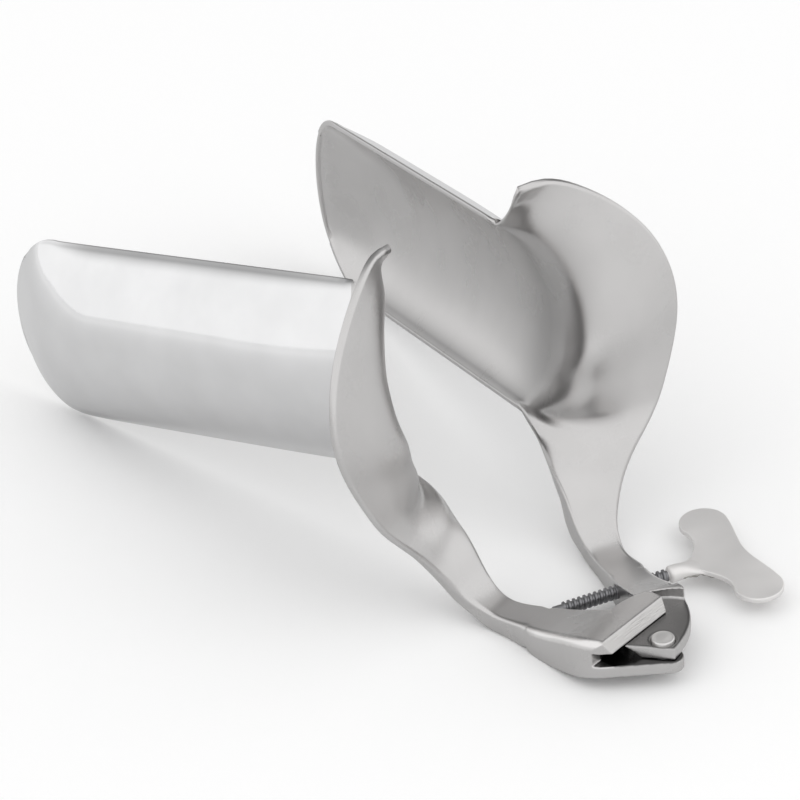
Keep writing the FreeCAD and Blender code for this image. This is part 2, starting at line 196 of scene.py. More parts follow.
def armRungs(blockOutY):  # straight lines between the arm's two edges
    k = rungSteps[None, :, None]
    ends = np.array([arm["inner"] + [(arm["blockX"], arm["blockInY"], arm["blockTopZ"])],
                     arm["outer"] + [(arm["blockX"], blockOutY, arm["blockTopZ"])]])
    return ends[0][:, None] * (1 - k) + ends[1][:, None] * k


# Face over flange and arm: the rungs of both fade into each other by averaging neighbours,
# after which each rung's ends are drawn back to where they were. The rows between follow one
# spline, and at says by rung number where each row lies.
def proximalGrid(blockOutY):
    rows = flangeRungs()
    count = len(rows)
    rows = np.concatenate([rows, armRungs(blockOutY)])
    rung = np.arange(len(rows))[1:-1, None, None]
    first, last = flange["blendRungs"]
    ease = np.clip(rung - first, 0, 2) * np.clip(last - rung, 0, 2) / 8
    given = rows[:, [0, -1]].copy()
    for i in range(flange["blendPasses"]):
        mean = (rows[:-2] + rows[2:]) / 2
        rows[1:-1] += ease * (mean - rows[1:-1])
    k = rungSteps[None, :, None]
    rows += (given[:, :1] - rows[:, :1]) * (1 - k) + (given[:, 1:] - rows[:, -1:]) * k
    onFlange = (math.pi / 2 - angles) / math.radians(flange["rungTurn"])
    at = np.r_[onFlange, np.arange(count - 0.75, len(rows) - 0.99, 0.25)]
    return splineThrough(rows, at), at


# The other face: every point goes back along its normal by the local thickness; the arm's
# last stretch lies on the table, and the throat meets the blade's outer skin.
def distalGrid(top, at):
    dr = np.gradient(top, axis=0)
    dk = np.gradient(top, axis=1)
    normal = np.cross(dk, dr)
    normal /= np.linalg.norm(normal, axis=2)[..., None]
    corner = len(flange["reach"]) - 1
    knots = np.r_[0, corner, corner + 1 + np.arange(7), at[-1]]
    thick = np.interp(at, knots, [flange["thick"]] * 2 + arm["thick"] + [arm["blockThick"]] * 2)
    keel = np.interp(at, knots, [0, 0] + arm["keel"] + [0, 0])
    low = top + normal * thick[:, None, None]
    low -= np.array(arm["keelWay"]) * (keel[:, None] * (1 - rungSteps[None, :]))[..., None]
    table = top * (1, 1, 0)
    land = np.clip((at - arm["landRung"]) / arm["landRungs"], 0, 1)[:, None, None]
    land = land * land * (3 - 2 * land)
    low = low * (1 - land) + table * land
    low[..., 2] = np.maximum(low[..., 2], 0)
    count = len(angles)
    root = troughSkin(throatX(angles), 0.0, angles, 0.0)
    fade = np.clip(1 - rungSteps / flange["rootShare"], 0, 1)[None, :, None]
    low[:count] += (root - low[:count, 0])[:, None] * fade
    return low


# Rounded wall between two matching border lines: at each point the outward way is the
# cross of the border's run and its thickness, and both corners turn by quarter circles.
def rimStrip(top, low, radius):
    thick = top - low
    size = np.linalg.norm(thick, axis=1)[:, None]
    up = thick / size
    run = np.gradient((top + low) / 2, axis=0)
    out = np.cross(run, up)
    for i in range(3):
        out /= np.linalg.norm(out, axis=1)[:, None]
        out[1:-1] += (out[:-2] + out[2:]) / 2
    out /= np.linalg.norm(out, axis=1)[:, None]
    r = np.minimum(radius[:, None], size * flange["radiusShare"])
    turn = np.linspace(0, math.pi / 2, 5)
    columns = [top - out * (r * (1 - math.sin(t))) - up * (r * (1 - math.cos(t))) for t in turn]
    r = np.minimum(r, arm["footRadius"])
    columns += [low - out * (r * (1 - math.sin(t))) + up * (r * (1 - math.cos(t)))
                for t in turn[::-1]]
    return np.stack(columns, 1)


def gridFaces(ids):  # quads between neighbouring rows and columns of a grid of vertex numbers
    return np.stack([ids[:-1, :-1], ids[:-1, 1:], ids[1:, 1:], ids[1:, :-1]], -1).reshape(-1, 4)


def tubeFaces(shape, capped=True):  # rows of rings, closed round and, where capped, over both ends
    ids = np.arange(shape[0] * shape[1]).reshape(shape)
    ids = np.concatenate([ids, ids[:, :1]], 1)
    caps = [ids[0, :-1].tolist(), ids[-1, -2::-1].tolist()] if capped else []
    return gridFaces(ids).tolist() + caps


# Radius of the border's edges: the flange's own, growing to the arm's towards the block, where
# the outside is rolled over, and never wider than the first row of faces beside it.
def borderRadius(points, beside):
    toBlock = np.clip((points[:, 0] - arm["rollX"]) / arm["rollRun"], 0, 1)
    toBlock = toBlock * (points[:, 2] < arm["rollBelowZ"])
    wanted = np.where(points[:, 1] > arm["rolledOutsideY"], arm["rollRadius"], arm["innerRadius"])
    radius = flange["edgeRadius"] + (wanted - flange["edgeRadius"]) * toBlock
    radius = np.minimum(radius, 0.8 * np.linalg.norm(points - beside, axis=1))
    return np.minimum(radius, np.convolve(np.pad(radius, 2, "edge"), np.full(5, 0.2), "valid"))


# Painted shade in the hollow at the throat: the steel's colour is darkened there, and the
# darkening fades with the way from the throat, sooner on the blade, and leaves out the arm.
def hollowPaintedShade(ladder, bladeRows, onFlange):
    away = np.linalg.norm(ladder - ladder[:, :1], axis=2)
    away[onFlange:] = np.inf
    back = np.linalg.norm(bladeRows - bladeRows[:1], axis=2)[1:] / flange["hollowOnBlade"]
    away = np.concatenate([away.ravel(), back.ravel()])
    return flange["hollowShadeDepth"] * np.exp(-(away / flange["hollowReach"]) ** 2)


# Blade, flange and arm: two skins that share one border line, joined by the rounded strip,
# as points, faces, a mark on the faces of the blade's outer skin and each point's painted shade.
def shellOfHalf(blockOutY):
    topBlade = bladeGrid(1.0)
    lowBlade = bladeGrid(0.0)
    topLadder, at = proximalGrid(blockOutY)
    lowLadder = distalGrid(topLadder, at)
    count = len(angles)
    rows, steps = topLadder.shape[:2]
    f = topBlade.shape[0]
    topBlade[0] = topLadder[:count, 0]
    lowBlade[0] = lowLadder[:count, 0]
    ladderIds = np.arange(rows * steps).reshape(rows, steps)
    bladeIds = np.concatenate([ladderIds[:count, 0][None],
                               rows * steps + np.arange((f - 1) * count).reshape(f - 1, count)])
    top = np.concatenate([topLadder.reshape(-1, 3), topBlade[1:].reshape(-1, 3)])
    low = np.concatenate([lowLadder.reshape(-1, 3), lowBlade[1:].reshape(-1, 3)])
    # round the border from the block's outer corner, over rim, horn, blade and back to the block
    loop = np.concatenate([ladderIds[::-1, -1], ladderIds[0, -2:0:-1], bladeIds[:, 0],
                           bladeIds[-1, 1:-1], bladeIds[::-1, -1], ladderIds[count:, 0]])
    beside = np.concatenate([ladderIds[::-1, -2], ladderIds[1, -2:0:-1], bladeIds[:, 1],
                             bladeIds[-2, 1:-1], bladeIds[::-1, -2], ladderIds[count:, 1]])
    strip = rimStrip(top[loop], low[loop], borderRadius(top[loop], top[beside]))
    base = len(top)
    top[loop] = strip[:, 0]
    low[loop] = strip[:, -1]
    extra = strip[:, 1:-1]
    points = np.concatenate([top, low, extra.reshape(-1, 3)])
    middle = 2 * base + np.arange(extra.shape[0] * extra.shape[1]).reshape(extra.shape[:2])
    stripIds = np.concatenate([loop[:, None], middle, loop[:, None] + base], 1)
    faces = [gridFaces(g) for g in (ladderIds, bladeIds, ladderIds + base, bladeIds + base, stripIds)]
    outside = np.concatenate([np.full(len(q), i == 3) for i, q in enumerate(faces)])
    hollowShade = np.zeros(len(points))
    hollowShade[:base] = hollowPaintedShade(topLadder, topBlade, count)
    return points, np.concatenate(faces), outside, hollowShade


# Half frame in millimetres to the row frame in metres: mirror the near half, turn both by
# half the opening angle, and move them to the hinge.
def turnedHalf(points, side):
    mirror, b = (-1, openDeg / 2) if side == "near" else (1, -openDeg / 2)
    x, y, z = (points * (1, mirror, 1)).T
    c, s = math.cos(math.radians(b)), math.sin(math.radians(b))
    return np.stack([x * c - y * s + hingeX, x * s + y * c, z], -1) * mm


def halfFrame(points, side):  # the way back
    mirror, b = (-1, openDeg / 2) if side == "near" else (1, -openDeg / 2)
    x, y, z = (points / mm - (hingeX, 0, 0)).T
    c, s = math.cos(math.radians(b)), math.sin(math.radians(b))
    return np.stack([x * c + y * s, (y * c - x * s) * mirror, z], -1)


def newPiece(name, points, faces):
    mesh = bpy.data.meshes.new(name)
    mesh.from_pydata(points, [], faces)
    mesh.update()
    piece = bpy.data.objects.new(name, mesh)
    bpy.context.scene.collection.objects.link(piece)
    return piece


def keepPlace(piece, side):  # each vertex's place in the half frame, for the patterns
    points = np.zeros(len(piece.data.vertices) * 3)
    piece.data.vertices.foreach_get("co", points)
    mark = piece.data.attributes.new("place", "FLOAT_VECTOR", "POINT")
    mark.data.foreach_set("vector", halfFrame(points.reshape(-1, 3), side).ravel())


def pointsOf(bm):
    return np.array([v.co for v in bm.verts])


def moveTo(bm, points):
    for v, p in zip(bm.verts, points):
        v.co = p


def smoothShading(piece):
    piece.data.polygons.foreach_set("use_smooth", np.ones(len(piece.data.polygons), bool))


def weighNormals(piece):  # flat faces keep their shading, and the rounded edges take the turn
    smoothShading(piece)
    weigh = piece.modifiers.new("weigh", "WEIGHTED_NORMAL")
    weigh.weight = 60


def closeShading(piece, angle):
    smoothShading(piece)
    piece.data.set_sharp_from_angle(angle=math.radians(angle))


def outwards(piece, weld=False):  # turns the faces outwards, and may weld points that lie together
    bm = bmesh.new()
    bm.from_mesh(piece.data)
    if weld:
        bmesh.ops.remove_doubles(bm, verts=bm.verts, dist=1e-7)
    bmesh.ops.recalc_face_normals(bm, faces=bm.faces)
    bm.to_mesh(piece.data)
    bm.free()


def cutAcross(bm, keepBlock, x):  # keeps the hinge side or the blade side of a cut at x
    everything = list(bm.verts) + list(bm.edges) + list(bm.faces)
    bmesh.ops.bisect_plane(bm, geom=everything, dist=1e-5, plane_co=(x, 0, 0),
                           plane_no=(1, 0, 0), clear_inner=keepBlock, clear_outer=not keepBlock)


# Evens out values at the vertices: each moves towards the mean of its neighbours, by its weight.
def eased(values, edges, weight, passes):
    count = len(values)
    a, b = edges[:, 0], edges[:, 1]
    share = 1 / np.maximum(1, np.bincount(a, minlength=count) + np.bincount(b, minlength=count))
    v = np.array(values, float).reshape(count, -1)
    for i in range(passes):
        for c in range(v.shape[1]):
            total = np.bincount(a, v[b, c], count) + np.bincount(b, v[a, c], count)
            v[:, c] += weight * (total * share - v[:, c])
    return v.reshape(np.shape(values))


def edgesOf(bm):
    bm.verts.index_update()
    return np.array([(e.verts[0].index, e.verts[1].index) for e in bm.edges])


# Painted shade where the halves meet: the colour is darkened by 1 on the tongue's top, which
# the fork's step shades, and more inside the fork's slot, a recess. Faces are found by place and by
# the way that they look.
def slotPaintedShadeAt(points, normals, side):
    x, y, z = points.T
    up, down, ahead = normals[:, 2] > 0.6, normals[:, 2] < -0.6, normals[:, 0] > 0.4
    h = hinge
    if side == "far":
        return 1.0 * (up & (abs(z - h["tongueTop"]) < 0.25) & (np.hypot(x, y) < h["stepR"]))
    inside = (x > h["slotX"]) & (y < arm["blockOutY"][side] - 0.8)
    floor = up & (abs(z - h["slotFloor"]) < 0.3)
    roof = down & (abs(z - h["slotRoof"]) < 0.3)
    wall = ahead & (z > h["slotFloor"]) & (z < h["slotRoof"]) & (x < h["slotWallX"])
    return inside * (h["floorPaintedShade"] * floor + h["roofPaintedShade"] * roof + h["wallPaintedShade"] * wall)


# Rounds the block's outer top edge up to the place endX: a point nearer than the radius to
# both faces moves on to the circle that touches them. Where the two faces are is read from
# the points, slice by slice, and evened out along the block.
def rollOuterEdge(points, endX):
    x, y, z = points.T
    along = (x - x.min()) / arm["slice"]
    slices = np.round(along).astype(int)
    upTo = int((endX - x.min()) / arm["slice"])
    place = np.clip(along, 0, upTo)

    def faceAt(values, wanted):
        most = np.full(slices.max() + 1, -1.0)
        np.maximum.at(most, slices[wanted], values[wanted])
        even = np.convolve(np.pad(most[:upTo + 1], 4, "edge"), np.full(9, 1 / 9), "valid")
        return np.interp(place, np.arange(upTo + 1), even)

    side = faceAt(y, z > arm["faceReach"])
    top = faceAt(z, y > side - arm["faceReach"])
    toBlock = np.clip((x - arm["joinX"]) / arm["rollGrow"], 0, 1)
    r = arm["rollRadius"] + (arm["blockRollRadius"] - arm["rollRadius"]) * toBlock
    a = r - (side - y)
    b = r - (top - z)
    reach = np.hypot(a, b)
    turn = (a > 0) & (b > 0) & (reach > r) & (x < endX + 1)
    scale = np.where(turn, r / np.maximum(reach, 1e-9), 1.0)
    y = np.where(turn, y - a * (1 - scale), y)
    z = np.where(turn, z - b * (1 - scale), z)
    return np.stack([x, y, z], -1), turn


halfFinishes = ("satinSteel", "mirrorSteel", "groundSteel")


def finelyRemeshed(bm):  # the solid in bm as a new mesh of small even faces
    holder = newPiece("rough", [], [])
    rough = holder.data
    bm.to_mesh(rough)
    bm.free()
    remesh = holder.modifiers.new("remesh", "REMESH")
    remesh.mode = "VOXEL"
    remesh.voxel_size = arm["voxel"]
    graph = bpy.context.evaluated_depsgraph_get()
    fine = bpy.data.meshes.new_from_object(holder.evaluated_get(graph))
    bpy.data.objects.remove(holder)
    bpy.data.meshes.remove(rough)
    return fine


def thinTongue(bm):  # makes the tongue's plate a hair thinner, so that it swings freely in the slot
    middle = (hinge["slotFloor"] + hinge["slotRoof"]) / 2
    for v in bm.verts:
        if v.co.x > -hinge["stepR"] - 0.1 and abs(v.co.z - middle) < hinge["plateHalf"]:
            v.co.z -= hinge["slack"] * (1 if v.co.z > middle else -1)


# The half's hinge block: the CAD solid from the arm's end on, remeshed finely and smoothed so
# that its edges soften, with the outer top edge rolled over, in the half frame.
def hingeBlock(side):
    node = nodes["fork_half" if side == "near" else "tongue_half"]
    bm = bmesh.new()
    bm.from_mesh(node.data)
    bmesh.ops.remove_doubles(bm, verts=bm.verts, dist=2e-6)
    moveTo(bm, halfFrame(pointsOf(bm), side))
    cutAcross(bm, True, arm["joinX"] - 1)
    bmesh.ops.holes_fill(bm, edges=[e for e in bm.edges if e.is_boundary])
    bmesh.ops.recalc_face_normals(bm, faces=bm.faces)
    fine = finelyRemeshed(bm)
    bm = bmesh.new()
    bm.from_mesh(fine)
    for i in range(arm["smoothPasses"]):
        bmesh.ops.smooth_vert(bm, verts=bm.verts, factor=0.5,
                              use_axis_x=True, use_axis_y=True, use_axis_z=True)
    cutAcross(bm, True, arm["joinX"])
    if side == "far":
        thinTongue(bm)
    edges = edgesOf(bm)
    endX = hinge["rollToX"][side]
    points, turn = rollOuterEdge(pointsOf(bm), endX)
    free = np.array([not v.is_boundary for v in bm.verts]) & (points[:, 0] < endX - 1)
    aroundTurn = np.clip(3 * eased(1.0 * turn, edges, 0.6, 3), 0, 0.5)
    points = eased(points, edges, free * aroundTurn, 5)
    moveTo(bm, points)
    bm.normal_update()
    # painted shade in the slot and on the tongue's top
    paintedShading = slotPaintedShadeAt(points, np.array([v.normal for v in bm.verts]), side)
    # painted highlight: the rolled edge's colour is lightened, from the join towards the hinge
    paintedShading = paintedShading - hinge["rolledPaintedHighlight"] * turn * np.clip((points[:, 0] - arm["joinX"]) / 3, 0, 1)
    layer = bm.verts.layers.float.new("paintedShading")
    for v, w in zip(bm.verts, eased(paintedShading, edges, 0.5, 2)):
        v[layer] = w
    for f in bm.faces:  # the ground end face of the fork's upper plate
        if side == "near" and f.normal.x > 0.8 and abs(f.normal.z - hinge["endSlope"]) < 0.08:
            f.material_index = halfFinishes.index("groundSteel")
    bm.to_mesh(fine)
    bm.free()
    return fine


# One half: skins and hinge block bridged into one closed mesh, evened out where they meet.
def halfPiece(name, side, body, node):
    points, faces, outside, hollowShade = shellOfHalf(arm["blockOutY"][side])
    piece = newPiece(name, points.tolist(), faces.tolist())
    # the throat hollow's painted shade darkens the steel's colour
    piece.data.attributes.new("paintedShading", "FLOAT", "POINT").data.foreach_set("value", hollowShade)
    finish = outside.astype(np.int32) * halfFinishes.index("mirrorSteel")
    piece.data.polygons.foreach_set("material_index", finish)
    bm = bmesh.new()
    bm.from_mesh(piece.data)
    cutAcross(bm, False, arm["joinX"])
    block = hingeBlock(side)
    bm.from_mesh(block)
    bpy.data.meshes.remove(block)
    bmesh.ops.bridge_loops(bm, edges=[e for e in bm.edges if e.is_boundary])
    bmesh.ops.recalc_face_normals(bm, faces=bm.faces)
    points = pointsOf(bm)
    near = np.maximum(0, 1 - ((points[:, 0] - arm["joinX"]) / arm["joinReach"]) ** 2)
    points = eased(points, edgesOf(bm), 0.5 * near, arm["joinPasses"])
    moveTo(bm, turnedHalf(points, side))
    if side == "near":
        bmesh.ops.reverse_faces(bm, faces=bm.faces)
    bm.to_mesh(piece.data)
    bm.free()
    weighNormals(piece)
    keepPlace(piece, side)
    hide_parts(node)
    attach(piece, body)
    return piece


screw = {
    "x": -21.0, "z": 3.4, "tipY": -11.02, "tipLength": 1.6, "crest": 1.25, "root": 0.9, "pitch": 1.0,
    "ridgeSteep": 1.5, "ridgeLow": 0.15, "fadeIn": 0.8, "fadeOut": 0.5, "round": 48, "perTurn": 14,
    "neckY": 11.0, "neckR": 1.55, "swell": 0.5, "neckEnd": 17.6, "squashY": 12.4, "fanY": 13.4,
    "fanHalf": 3.4, "wingHalf": 0.47, "endStep": 0.15, "endShare": 0.8,
}


# Rod round the screw's axis: over the threaded length the radius rises and falls with the
# height less the turn; past the neck the round squashes flat and fans out into the wing.
def screwRod():
    s = screw
    start = s["tipY"] + s["tipLength"]
    neck, end = s["neckY"], s["neckEnd"]
    h = np.r_[np.arange(start, neck - 0.01, s["pitch"] / s["perTurn"]),
              neck + s["swell"] * np.array((0, 0.2, 0.5, 1)),
              np.linspace(neck + 2 * s["swell"], end, 30), end + s["endStep"]]
    turn = np.linspace(0, 2 * math.pi, s["round"], endpoint=False)
    hh, tt = np.meshgrid(h, turn, indexing="ij")
    wave = 0.5 + 0.5 * np.cos(2 * math.pi * hh / s["pitch"] - tt)
    ridge = np.clip(wave * s["ridgeSteep"] - s["ridgeLow"], 0, 1)
    ridge = ridge * ridge * (3 - 2 * ridge)
    fade = np.clip((hh - start) / s["fadeIn"], 0, 1) * np.clip((neck - hh) / s["fadeOut"], 0, 1)
    r = s["root"] + (s["crest"] - s["root"]) * ridge * fade
    swell = np.clip((hh - neck) / s["swell"], 0, 1)
    r = r + (s["neckR"] - r) * np.sin(swell * math.pi / 2)
    flat = np.clip((hh - s["squashY"]) / (end - s["squashY"]), 0, 1)
    flat = flat * flat * (3 - 2 * flat)
    fan = np.clip((hh - s["fanY"]) / (end - s["fanY"]), 0, 1) ** 2
    wide = 1 + (s["fanHalf"] / s["neckR"] - 1) * fan
    tall = 1 + (s["wingHalf"] / s["neckR"] - 1) * flat
    r = r * np.where(hh > end, s["endShare"], 1.0)
    x = s["x"] + r * wide * np.cos(tt)
    z = s["z"] + r * tall * np.sin(tt)
    onNeck = np.repeat(h[:-1] >= neck - 0.1, s["round"]).tolist() + [False, True]
    return np.stack([x, hh, z], -1).reshape(-1, 3), tubeFaces(hh.shape), onNeck


def makeScrew():
    points, faces, onNeck = screwRod()
    piece = newPiece("screwRod", turnedHalf(points, "far").tolist(), faces)
    dress(piece, "threadSteel", "wingSteel")
    piece.data.polygons.foreach_set("material_index", np.array(onNeck, np.int32))
    outwards(piece)
    closeShading(piece, 40)
    keepPlace(piece, "far")
    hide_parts("screw_spindle")
    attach(piece, "screw_body")
    return piece


brazeRun = {
    "fromY": 13.2, "length": 5.2, "radius": 0.42, "squash": 0.7, "rings": 60, "round": 20,
    "slowLumps": 0.09, "quickLumps": 0.06, "sway": 0.08,
    "along": (0, 0.35, 0.75, 1), "outX": (1.2, 1.35, 2.2, 4.4), "upZ": (-0.6, -0.5, -0.4, -0.4),
}


# Run of braze along the neck's hinge side, where it meets the wing: a rod with round ends
# whose radius and height waver with a few slow and a few quick waves.
def brazeFillet():
    b = brazeRun
    u = np.linspace(0, 1, b["rings"])
    v = np.linspace(0, 2 * math.pi, b["round"], endpoint=False)
    uu, vv = np.meshgrid(u, v, indexing="ij")
    ends = np.sqrt(np.clip(1 - (2 * uu - 1) ** 4, 0, 1)) + 1e-4
    lumps = b["slowLumps"] * np.sin(17 * uu + 0.6) + b["quickLumps"] * np.sin(31 * uu + vv)
    fat = (b["radius"] + lumps) * ends
    x = screw["x"] + np.interp(uu, b["along"], b["outX"]) + fat * np.cos(vv)
    y = b["fromY"] + b["length"] * uu
    up = np.interp(uu, b["along"], b["upZ"]) + b["sway"] * np.sin(13 * uu)
    z = screw["z"] + up + fat * np.sin(vv) * b["squash"]
    points = turnedHalf(np.stack([x, y, z], -1).reshape(-1, 3), "far")
    piece = newPiece("brazeFillet", points.tolist(), tubeFaces(uu.shape))
    outwards(piece)
    closeShading(piece, 180)
    keepPlace(piece, "far")
    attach(piece, "screw_body")
    return piece


def roundedNode(name, pieceName, body, side, width, sharp):  # a CAD solid, edges rounded
    bm = bmesh.new()
    bm.from_mesh(nodes[name].data)
    bmesh.ops.remove_doubles(bm, verts=bm.verts, dist=2e-6)
    bmesh.ops.scale(bm, vec=(1 / mm, 1 / mm, 1 / mm), verts=bm.verts)
    bmesh.ops.dissolve_limit(bm, angle_limit=math.radians(1.0), verts=bm.verts, edges=bm.edges)
    turning = [e for e in bm.edges if len(e.link_faces) == 2 and e.calc_face_angle(0) > math.radians(sharp)]
    bmesh.ops.bevel(bm, geom=turning, offset=width, segments=3, profile=0.5,
                    affect="EDGES", clamp_overlap=True)
    bmesh.ops.scale(bm, vec=(mm, mm, mm), verts=bm.verts)
    piece = newPiece(pieceName, [], [])
    bm.to_mesh(piece.data)
    bm.free()
    weighNormals(piece)
    keepPlace(piece, side)
    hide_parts(name)
    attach(piece, body)
    return piece


pin = {
    "radius": 1.97, "bottom": 2.7, "top": 7.95, "corner": 0.3, "footIn": 0.25, "footUp": 0.2,
    "head": [(1.4, 0.02), (1.05, -0.02), (0.7, -0.07), (0.35, -0.09), (0.0, -0.1)],
    "dentAt": (0.5, -0.3), "dentSpread": 0.5, "dentDepth": 0.07,
}


# Riveted pin: a lathe profile with a rounded shoulder and a slightly sunk, hammered head with
# one shallow dent. The head's rings are given as radius and height over the shoulder.
def hingePin():
    p = pin
    turn = np.linspace(0, 2 * math.pi, 64, endpoint=False)
    bend = np.linspace(0, math.pi / 2, 7)[1:]
    head = np.array(p["head"])
    radii = np.r_[0.0, 0.8, 1.4, p["radius"] - p["footIn"], p["radius"], p["radius"],
                  p["radius"] - p["corner"] * (1 - np.cos(bend)), head[:, 0]]
    heights = np.r_[[p["bottom"]] * 4, p["bottom"] + p["footUp"], p["top"] - p["corner"],
                    p["top"] - p["corner"] * (1 - np.sin(bend)), p["top"] + head[:, 1]]
    rr, tt = np.meshgrid(radii, turn, indexing="ij")
    x, y = rr * np.cos(tt), rr * np.sin(tt)
    z = np.repeat(heights[:, None], len(turn), 1)
    dent = np.exp(-((x - p["dentAt"][0]) ** 2 + (y - p["dentAt"][1]) ** 2) / p["dentSpread"])
    z = z - (z > p["top"] - p["corner"] / 2) * dent * p["dentDepth"]
    points = turnedHalf(np.stack([x, y, z], -1).reshape(-1, 3), "near")
    piece = newPiece("hingePin", points.tolist(), tubeFaces(rr.shape, capped=False))
    outwards(piece, weld=True)
    closeShading(piece, 60)
    keepPlace(piece, "near")
    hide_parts("hinge_pin")
    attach(piece, "fork_body")
    return piece


# Steels: one shared group lays the grain, and each finish has its own values. Grain sets how
# fine it is, a small stretch makes it run long that way, and spread is how far the roughness
# wavers.
steels = {
    "satinSteel": {"color": (0.655, 0.645, 0.64), "rough": 0.27, "spread": 0.03, "grain": 1.6,
                   "stretch": (0.5, 1.4, 1.4), "bump": 0.004, "paintedShadeDepth": 0.56},
    "mirrorSteel": {"color": (0.86, 0.86, 0.865), "rough": 0.07, "spread": 0.02, "grain": 0.25,
                    "stretch": (0.3, 1.0, 1.0), "bump": 0.0},
    "groundSteel": {"color": (0.66, 0.65, 0.64), "rough": 0.28, "spread": 0.2, "grain": 0.65,
                    "stretch": (1.0, 0.1, 1.0), "bump": 0.35},
    "wingSteel": {"color": (0.87, 0.855, 0.845), "rough": 0.5, "spread": 0.06, "grain": 0.6,
                  "stretch": (1.0, 1.0, 1.0), "bump": 0.02, "metal": 0.6},
    "threadSteel": {"color": (0.27, 0.27, 0.28), "rough": 0.34, "spread": 0.06, "grain": 1.2,
                    "stretch": (1.0, 0.3, 1.0), "bump": 0.02},
    "pinSteel": {"color": (0.74, 0.73, 0.72), "rough": 0.3, "spread": 0.08, "grain": 1.0,
                 "stretch": (1.0, 1.0, 1.0), "bump": 0.05, "metal": 0.7},
    "brazeMetal": {"color": (0.42, 0.41, 0.39), "rough": 0.35, "spread": 0.1, "grain": 2.0,
                   "stretch": (1.0, 1.0, 1.0), "bump": 0.15},
}

grainSockets = {
    "INPUT": {"Place": "Vector", "Stretch": "Vector", "Scale": "Float", "Color": "Color",
              "Rough": "Float", "Spread": "Float"},
    "OUTPUT": {"Color": "Color", "Rough": "Float", "Height": "Float"},
}
grainLook = {"fineScale": 6.0, "cloudScale": 0.09, "cloudShade": 0.035, "bumpHeight": 0.0004}


def feed(tree, target, given):  # links a socket, or sets a value
    if isinstance(given, bpy.types.NodeSocket):
        tree.links.new(given, target)
    else:
        target.default_value = given


def mathNode(tree, operation, *inputs):
    node = tree.nodes.new("ShaderNodeMath")
    node.operation = operation
    for target, given in zip(node.inputs, inputs):
        feed(tree, target, given)
    return node.outputs["Value"]


def vectorNode(tree, operation, output, first, second):
    node = tree.nodes.new("ShaderNodeVectorMath")
    node.operation = operation
    feed(tree, node.inputs[0], first)
    feed(tree, node.inputs["Scale"] if operation == "SCALE" else node.inputs[1], second)
    return node.outputs[output]


def noiseNode(tree, place, scale, detail):
    node = tree.nodes.new("ShaderNodeTexNoise")
    node.inputs["Detail"].default_value = detail
    feed(tree, node.inputs["Vector"], place)
    feed(tree, node.inputs["Scale"], scale)
    return node.outputs[0]


def mapNode(tree, value, start, end, atStart, atEnd, way="LINEAR"):
    node = tree.nodes.new("ShaderNodeMapRange")
    node.interpolation_type = way
    for name, given in zip(("Value", "From Min", "From Max", "To Min", "To Max"),
                           (value, start, end, atStart, atEnd)):
        feed(tree, node.inputs[name], given)
    return node.outputs["Result"]


def mixNode(tree, kind, factor, without, full):
    node = tree.nodes.new("ShaderNodeMix")
    node.data_type = kind
    for name, given in zip(("Factor", "A", "B"), (factor, without, full)):
        feed(tree, node.inputs[name], given)
    return node.outputs["Result"]


def attributeNode(tree, name, output):
    node = tree.nodes.new("ShaderNodeAttribute")
    node.attribute_name = name
    return node.outputs[output]


def grainGroup():  # fine grain and slow cloudiness, as a colour, a roughness and a height
    g = bpy.data.node_groups.new("steelGrain", "ShaderNodeTree")
    for way, sockets in grainSockets.items():
        for name, kind in sockets.items():
            g.interface.new_socket(name, in_out=way, socket_type="NodeSocket" + kind)
    given = g.nodes.new("NodeGroupInput").outputs
    out = g.nodes.new("NodeGroupOutput").inputs
    stretched = vectorNode(g, "MULTIPLY", "Vector", given["Place"], given["Stretch"])
    fineScale = mathNode(g, "MULTIPLY", given["Scale"], grainLook["fineScale"])
    fine = noiseNode(g, stretched, fineScale, 4)
    cloud = noiseNode(g, given["Place"], grainLook["cloudScale"], 3)
    centred = mapNode(g, cloud, 0.3, 0.7, -1.0, 1.0)
    both = mathNode(g, "ADD", fine, centred)
    rough = mathNode(g, "MULTIPLY_ADD", both, given["Spread"], given["Rough"])
    shade = mathNode(g, "MULTIPLY_ADD", centred, grainLook["cloudShade"], 1.0)
    g.links.new(vectorNode(g, "SCALE", "Vector", given["Color"], shade), out["Color"])
    g.links.new(rough, out["Rough"])
    g.links.new(fine, out["Height"])
    return g


def nodesOf(owner):  # a material's or world's own node tree
    owner.use_nodes = True
    return owner.node_tree


def steelMaterial(name, grain):
    v = steels[name]
    m = bpy.data.materials.new(name)
    tree = nodesOf(m)
    shader = tree.nodes["Principled BSDF"].inputs
    shader["Metallic"].default_value = v.get("metal", 1.0)
    group = tree.nodes.new("ShaderNodeGroup")
    group.node_tree = grain
    given = {"Place": attributeNode(tree, "place", "Vector"), "Stretch": v["stretch"], "Scale": v["grain"],
             "Color": (*v["color"], 1), "Rough": v["rough"], "Spread": v["spread"]}
    for key, value in given.items():
        feed(tree, group.inputs[key], value)
    color = group.outputs["Color"]
    if "paintedShadeDepth" in v:  # painted shade: darker in the slot, on the tongue's top and in the hollow; lighter on the rolled edge, a painted highlight
        left = mathNode(tree, "MULTIPLY_ADD", attributeNode(tree, "paintedShading", "Fac"), -v["paintedShadeDepth"], 1.0)
        color = vectorNode(tree, "SCALE", "Vector", color, left)
    tree.links.new(color, shader["Base Color"])
    tree.links.new(group.outputs["Rough"], shader["Roughness"])
    if v["bump"] > 0:
        bump = tree.nodes.new("ShaderNodeBump")
        bump.inputs["Strength"].default_value = v["bump"]
        bump.inputs["Distance"].default_value = grainLook["bumpHeight"]
        tree.links.new(group.outputs["Height"], bump.inputs["Height"])
        tree.links.new(bump.outputs["Normal"], shader["Normal"])
    return m


grain = grainGroup()
made = {name: steelMaterial(name, grain) for name in steels}


def dress(piece, *names):
    piece.data.materials.clear()
    for name in names:
        piece.data.materials.append(made[name])


